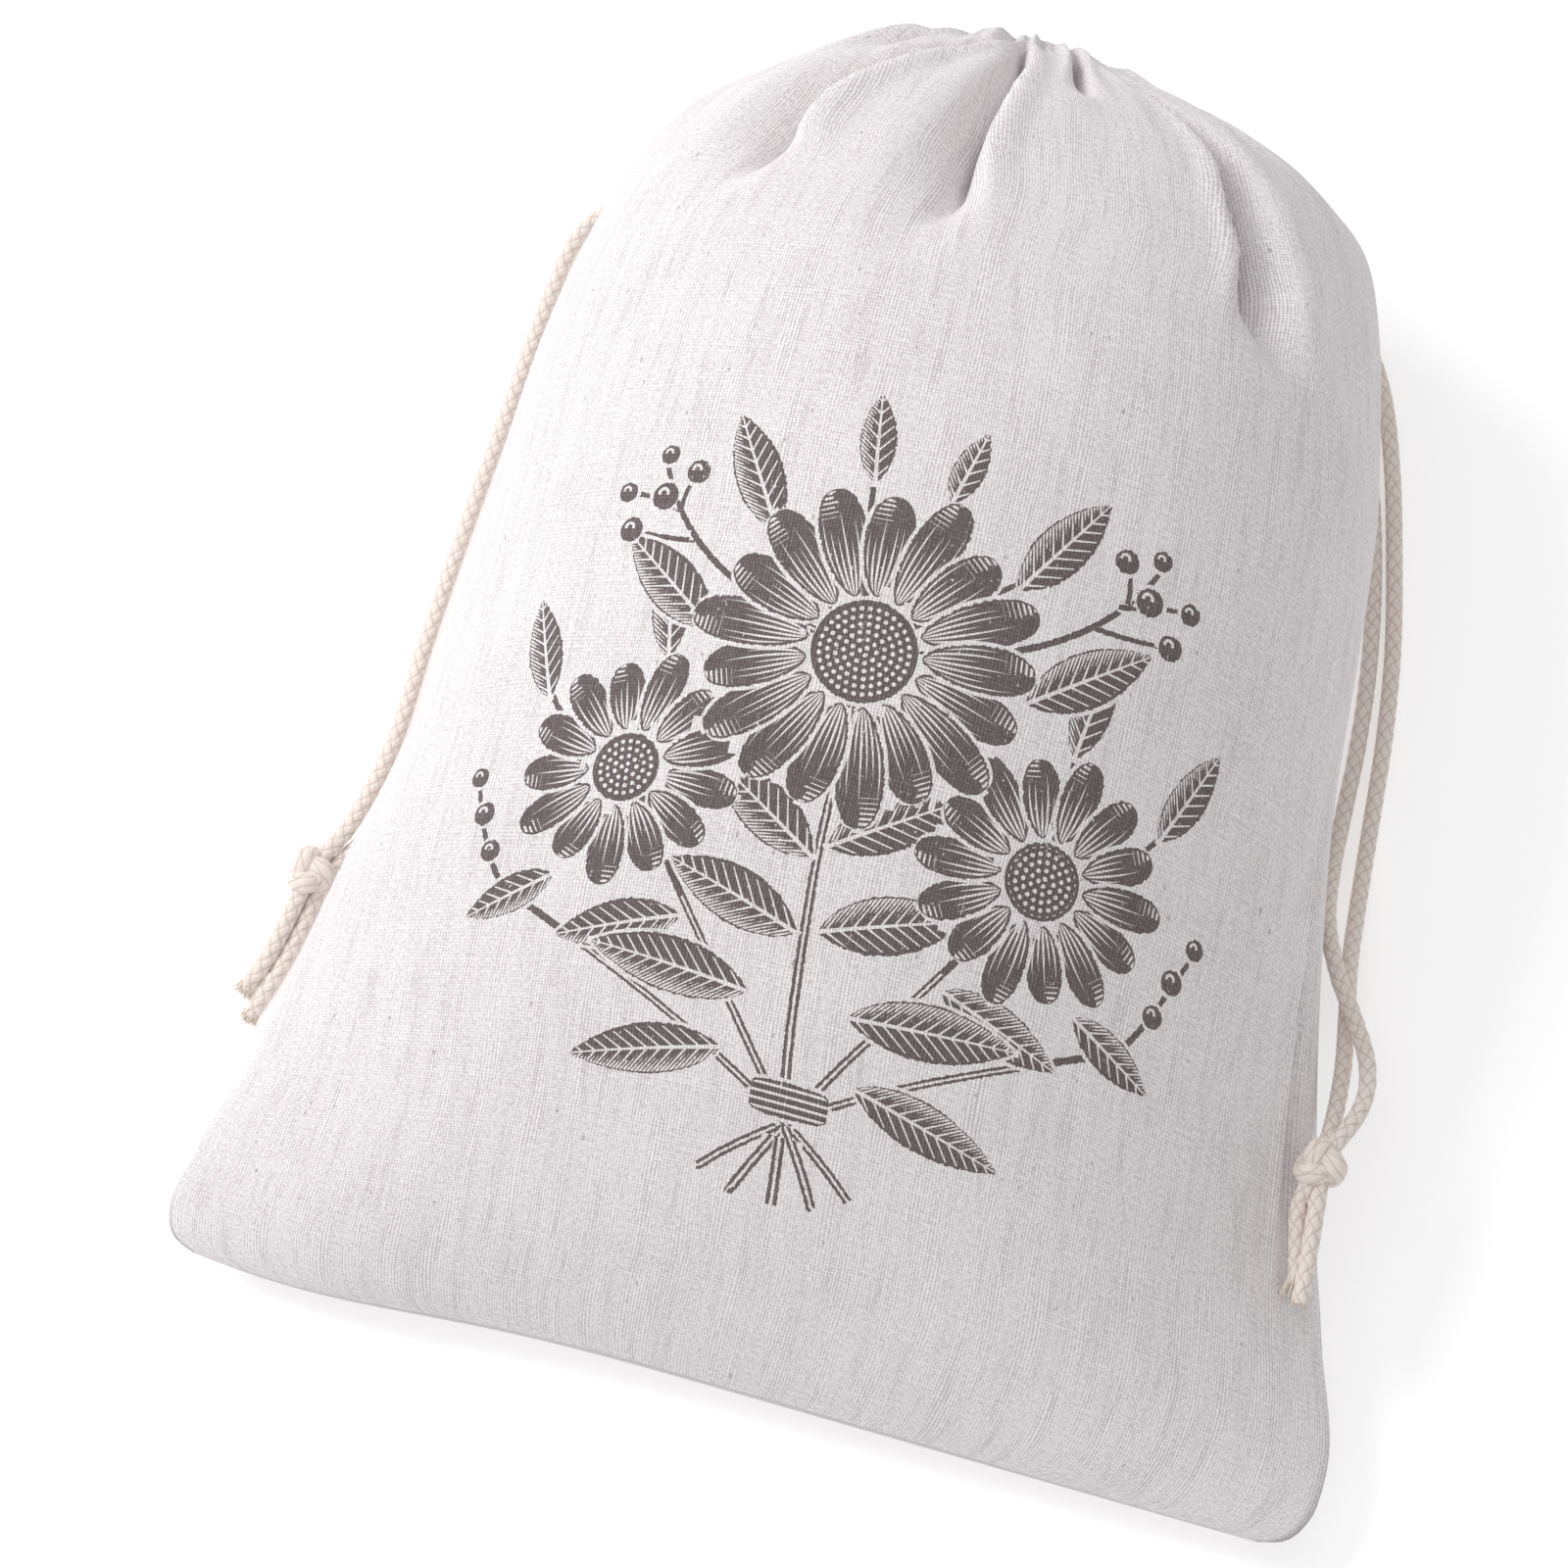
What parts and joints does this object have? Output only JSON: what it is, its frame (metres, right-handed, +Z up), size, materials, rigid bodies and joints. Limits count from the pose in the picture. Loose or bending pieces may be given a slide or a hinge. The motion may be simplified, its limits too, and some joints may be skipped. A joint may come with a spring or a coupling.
{
  "type": "cotton drawstring bread bag",
  "caption": "Puffed cotton drawstring bread bag lying on its back, its mouth drawn up into a gathered ring, with knotted braided cords along both sides.",
  "frame": {"origin": "middle of the bag's outline on the surface that it lies on, cords apart", "axes": "+Y from the closed bottom edge to the gathered mouth, +Z up out of the printed front, +X to the right seen from above"},
  "size_m": [0.2974, 0.3656, 0.125],
  "materials": {
    "cloth": "undyed plain-weave cotton, slubbed, matt",
    "cord": "cream braided cotton cord, matt"
  },
  "bodies": {
    "root": {"bag_body": "cloth", "cord_left_a": "cord", "cord_left_b": "cord", "cord_right_a": "cord", "cord_right_b": "cord", "tail_left_a": "cord", "tail_left_b": "cord", "tail_right_a": "cord", "tail_right_b": "cord", "knot_left": "cord", "knot_right": "cord"}
  },
  "joints": []
}
